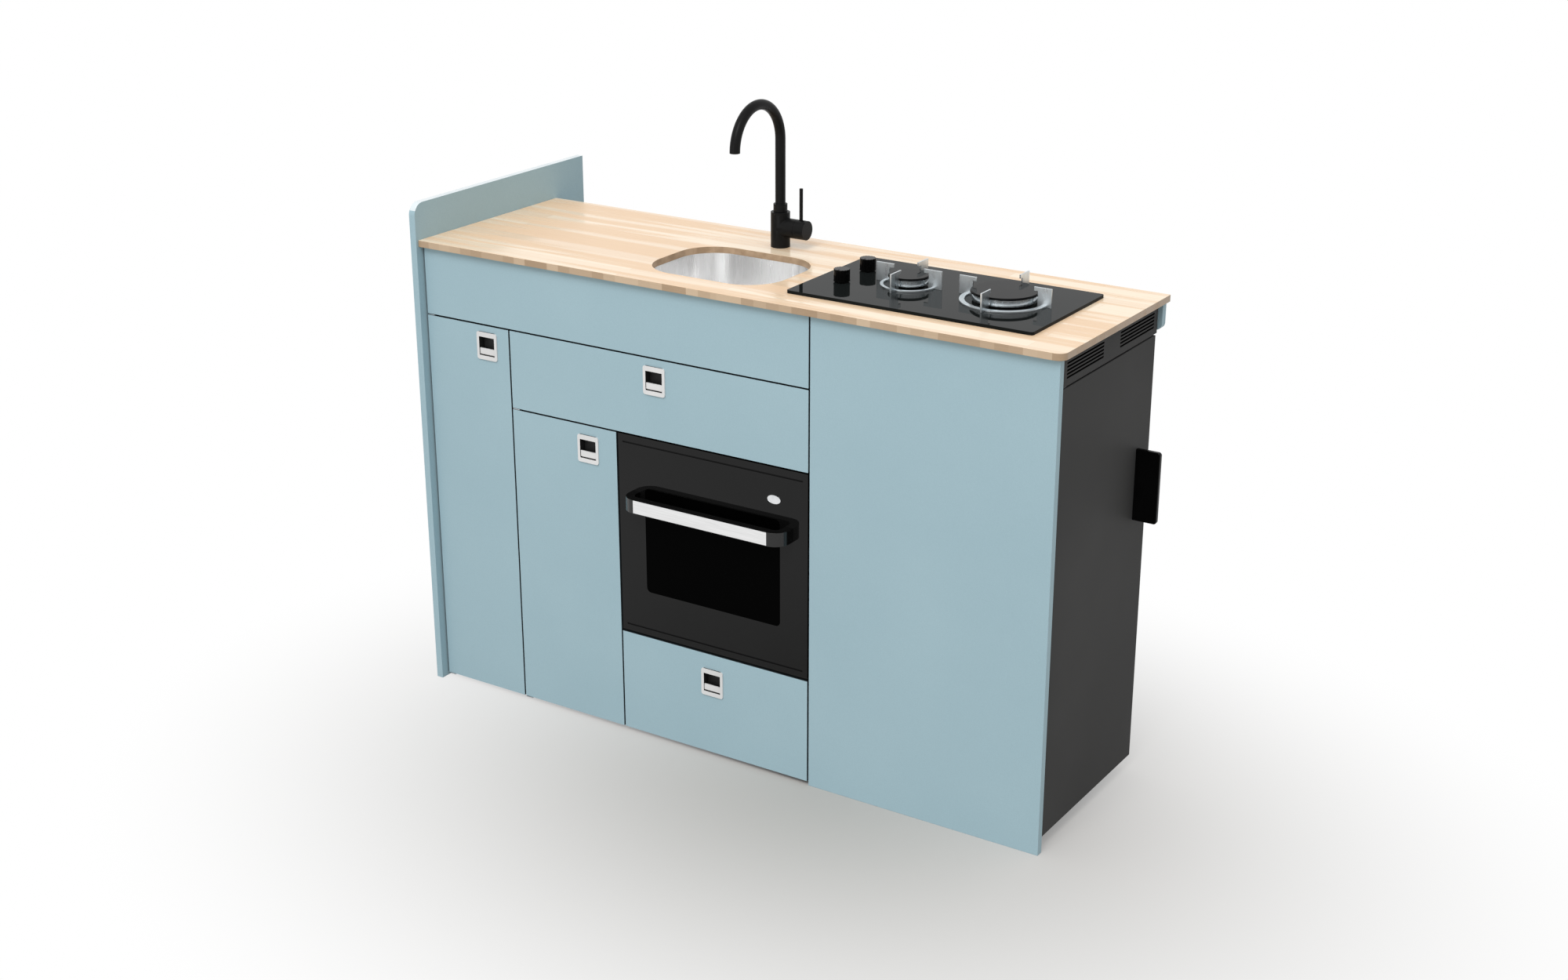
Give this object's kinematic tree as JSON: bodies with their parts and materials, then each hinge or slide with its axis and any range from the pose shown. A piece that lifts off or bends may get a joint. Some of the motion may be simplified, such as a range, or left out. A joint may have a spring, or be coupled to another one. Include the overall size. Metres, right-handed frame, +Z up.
{
  "type": "campervan kitchen pod",
  "caption": "Free-standing campervan kitchen unit: worktop with sink, swan-neck tap and glass gas hob over cupboards, drawers and an oven, with a fridge facing its right end.",
  "frame": {"origin": "on the floor, under the middle of the object's box", "axes": "+X along the front to the fridge end, +Y from the fronts to the back, +Z up"},
  "size_m": [1.4536, 0.562, 1.2485],
  "materials": {
    "blue_laminate": "satin blue laminate on plywood",
    "oak_worktop": "oiled laminated oak",
    "birch_ply": "clear birch plywood",
    "zinc_steel": "zinc plated",
    "latch_silver": "satin silver",
    "paddle_silver": "satin silver",
    "sink_steel": "brushed",
    "tap_black": "satin black",
    "brass": "machined",
    "hob_black_glass": "gloss black",
    "tray_steel": "grey",
    "knob_black": "satin black",
    "burner_alloy": "cast",
    "cap_enamel": "matt enamel",
    "support_steel": "polished",
    "oven_casing": "grey enamel",
    "oven_charcoal": "satin charcoal",
    "oven_black_glass": "gloss black",
    "handle_black": "gloss black",
    "bright_strip": "polished",
    "rack_chrome": "bright",
    "fridge_charcoal": "satin charcoal",
    "fridge_cabinet": "white liner",
    "seal_rubber": "soft",
    "fin_black": "satin black",
    "shelf_glass": "clear",
    "cooling_metal": "plain"
  },
  "bodies": {
    "carcass": {"left_end_panel": "blue_laminate", "top_fascia": "blue_laminate", "right_front_panel": "blue_laminate", "rear_rail": "blue_laminate", "worktop": "oak_worktop", "base_boards": "birch_ply", "left_partition": "birch_ply", "oven_partition": "birch_ply", "fridge_partition": "birch_ply", "shelf_boards": "birch_ply", "front_rail": "birch_ply", "back_panel": "birch_ply", "drawer_rails": "zinc_steel", "hinge_pivots": "zinc_steel", "sink_bowl": "sink_steel", "sink_waste": "sink_steel", "tap_body": "tap_black", "tap_nut": "brass", "gas_fittings": "brass", "hob_glass": "hob_black_glass", "hob_tray": "tray_steel", "burner_crowns": "burner_alloy", "burner_caps": "cap_enamel", "pan_supports": "support_steel", "oven_casing": "oven_casing", "oven_rack": "rack_chrome", "fridge_vent_grille": "fridge_charcoal", "fridge_cabinet": "fridge_cabinet", "fridge_shelves": "shelf_glass", "fridge_cooling_unit": "cooling_metal"},
    "tall_door": {"tall_door": "blue_laminate", "tall_door_latch": "latch_silver"},
    "tall_door_paddle": {"tall_door_latch_paddle": "paddle_silver"},
    "middle_door": {"middle_door": "blue_laminate", "middle_door_latch": "latch_silver"},
    "middle_door_paddle": {"middle_door_latch_paddle": "paddle_silver"},
    "wide_drawer": {"wide_drawer_front": "blue_laminate", "wide_drawer_box": "birch_ply", "wide_drawer_slides": "zinc_steel", "wide_drawer_latch": "latch_silver"},
    "wide_drawer_paddle": {"wide_drawer_latch_paddle": "paddle_silver"},
    "lower_drawer": {"lower_drawer_front": "blue_laminate", "lower_drawer_box": "birch_ply", "lower_drawer_slides": "zinc_steel", "lower_drawer_latch": "latch_silver"},
    "lower_drawer_paddle": {"lower_drawer_latch_paddle": "paddle_silver"},
    "oven_door": {"oven_door": "oven_charcoal", "oven_window": "oven_black_glass", "oven_handle": "handle_black", "oven_handle_strip": "bright_strip"},
    "fridge_door": {"fridge_door": "fridge_charcoal", "fridge_door_seal": "seal_rubber", "fridge_handle": "fin_black"},
    "tap_spout": {"tap_spout": "tap_black"},
    "tap_cap": {"tap_cap": "tap_black"},
    "tap_lever": {"tap_lever": "tap_black"},
    "hob_spindle_front": {"hob_spindle_front": "brass"},
    "hob_knob_front": {"hob_knob_front": "knob_black"},
    "hob_spindle_rear": {"hob_spindle_rear": "brass"},
    "hob_knob_rear": {"hob_knob_rear": "knob_black"}
  },
  "joints": [
    {"name": "tall_door_swing", "type": "hinge", "parent": "carcass", "child": "tall_door", "pos_m": [-0.69965, -0.2305, 0.4], "axis": [0, 0, -1], "range_deg": [0, 90]},
    {"name": "middle_door_swing", "type": "hinge", "parent": "carcass", "child": "middle_door", "pos_m": [-0.49045, -0.2305, 0.32], "axis": [0, 0, -1], "range_deg": [0, 90]},
    {"name": "wide_drawer_slide", "type": "slide", "parent": "carcass", "child": "wide_drawer", "axis": [0, -1, 0], "range_m": [0, 0.28]},
    {"name": "lower_drawer_slide", "type": "slide", "parent": "carcass", "child": "lower_drawer", "axis": [0, -1, 0], "range_m": [0, 0.25]},
    {"name": "oven_door_drop", "type": "hinge", "parent": "carcass", "child": "oven_door", "pos_m": [-0.02545, -0.2305, 0.234], "axis": [1, 0, 0], "range_deg": [0, 90]},
    {"name": "fridge_door_swing", "type": "hinge", "parent": "carcass", "child": "fridge_door", "pos_m": [0.66785, -0.206, 0.45], "axis": [0, 0, -1], "range_deg": [0, 100]},
    {"name": "tap_spout_swivel", "type": "hinge", "parent": "carcass", "child": "tap_spout", "pos_m": [-0.08685, 0.098, 1.03], "axis": [0, 0, 1], "range_deg": [-120, 120]},
    {"name": "tap_cap_turn", "type": "hinge", "parent": "carcass", "child": "tap_cap", "pos_m": [-0.04825, 0.098, 0.989], "axis": [1, 0, 0], "range_deg": [-40, 40]},
    {"name": "tap_lever_tip", "type": "hinge", "parent": "tap_cap", "child": "tap_lever", "pos_m": [-0.03925, 0.098, 0.995], "axis": [0, 1, 0], "range_deg": [0, 20]},
    {"name": "hob_front_push", "type": "slide", "parent": "carcass", "child": "hob_spindle_front", "axis": [0, 0, -1], "range_m": [0, 0.002], "stiffness_N_per_m": 400, "springref_m": -0.002},
    {"name": "hob_front_turn", "type": "hinge", "parent": "hob_spindle_front", "child": "hob_knob_front", "pos_m": [0.16175, -0.08, 0.965], "axis": [0, 0, 1], "range_deg": [0, 210]},
    {"name": "hob_rear_push", "type": "slide", "parent": "carcass", "child": "hob_spindle_rear", "axis": [0, 0, -1], "range_m": [0, 0.002], "stiffness_N_per_m": 400, "springref_m": -0.002},
    {"name": "hob_rear_turn", "type": "hinge", "parent": "hob_spindle_rear", "child": "hob_knob_rear", "pos_m": [0.16175, 0.0126, 0.965], "axis": [0, 0, 1], "range_deg": [0, 210]},
    {"name": "tall_door_paddle_pull", "type": "hinge", "parent": "tall_door", "child": "tall_door_paddle", "pos_m": [-0.55685, -0.2355, 0.73785], "axis": [1, 0, 0], "range_deg": [0, 25], "stiffness_Nm_per_rad": 0.02, "springref_deg": -5.73},
    {"name": "middle_door_paddle_pull", "type": "hinge", "parent": "middle_door", "child": "middle_door_paddle", "pos_m": [-0.31315, -0.2355, 0.56975], "axis": [1, 0, 0], "range_deg": [0, 25], "stiffness_Nm_per_rad": 0.02, "springref_deg": -5.73},
    {"name": "wide_drawer_paddle_pull", "type": "hinge", "parent": "wide_drawer", "child": "wide_drawer_paddle", "pos_m": [-0.15145, -0.2355, 0.73625], "axis": [1, 0, 0], "range_deg": [0, 25], "stiffness_Nm_per_rad": 0.02, "springref_deg": -5.73},
    {"name": "lower_drawer_paddle_pull", "type": "hinge", "parent": "lower_drawer", "child": "lower_drawer_paddle", "pos_m": [-0.02725, -0.2355, 0.14255], "axis": [1, 0, 0], "range_deg": [0, 25], "stiffness_Nm_per_rad": 0.02, "springref_deg": -5.73}
  ]
}
